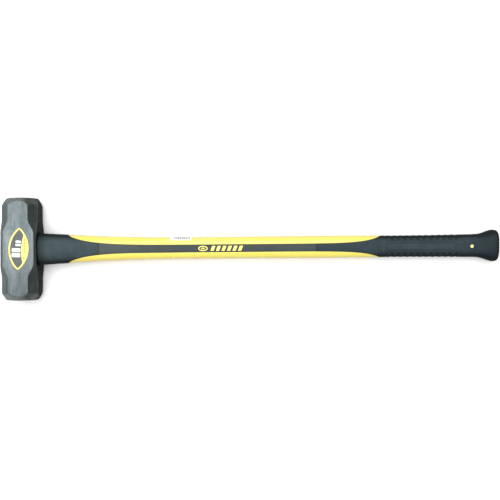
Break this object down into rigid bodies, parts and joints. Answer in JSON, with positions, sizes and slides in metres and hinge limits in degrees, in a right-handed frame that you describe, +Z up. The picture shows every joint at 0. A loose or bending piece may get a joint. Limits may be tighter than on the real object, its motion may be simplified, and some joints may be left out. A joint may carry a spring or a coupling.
{
  "type": "sledgehammer",
  "caption": "Double-faced sledgehammer with an octagonal forged steel head, a yellow handle with black inlay strips, an overstrike collar and a ribbed grip with a flared butt.",
  "frame": {"origin": "middle of the lower cheek of the head, under the centre of the eye; the hammer lies on that cheek", "axes": "+X along the handle from the eye to the butt, +Y along the head towards one striking face, +Z up, out of the front cheek"},
  "size_m": [0.8665, 0.18, 0.0636],
  "materials": {
    "forged_steel": "satin",
    "epoxy": "satin",
    "glass_fibre": "satin",
    "yellow_plastic": "gloss",
    "black_rubber": "matte",
    "black_strip": "satin",
    "decal_film": "satin",
    "label_paper": "matte"
  },
  "bodies": {
    "root": {"hammer_head": "forged_steel", "eye_epoxy": "epoxy", "glass_fibre_core": "glass_fibre", "handle_jacket": "yellow_plastic", "overstrike_collar": "black_rubber", "front_strip": "black_strip", "rear_strip": "black_strip", "grip_sleeve": "black_rubber", "head_decal": "decal_film", "barcode_label": "label_paper"}
  },
  "joints": []
}
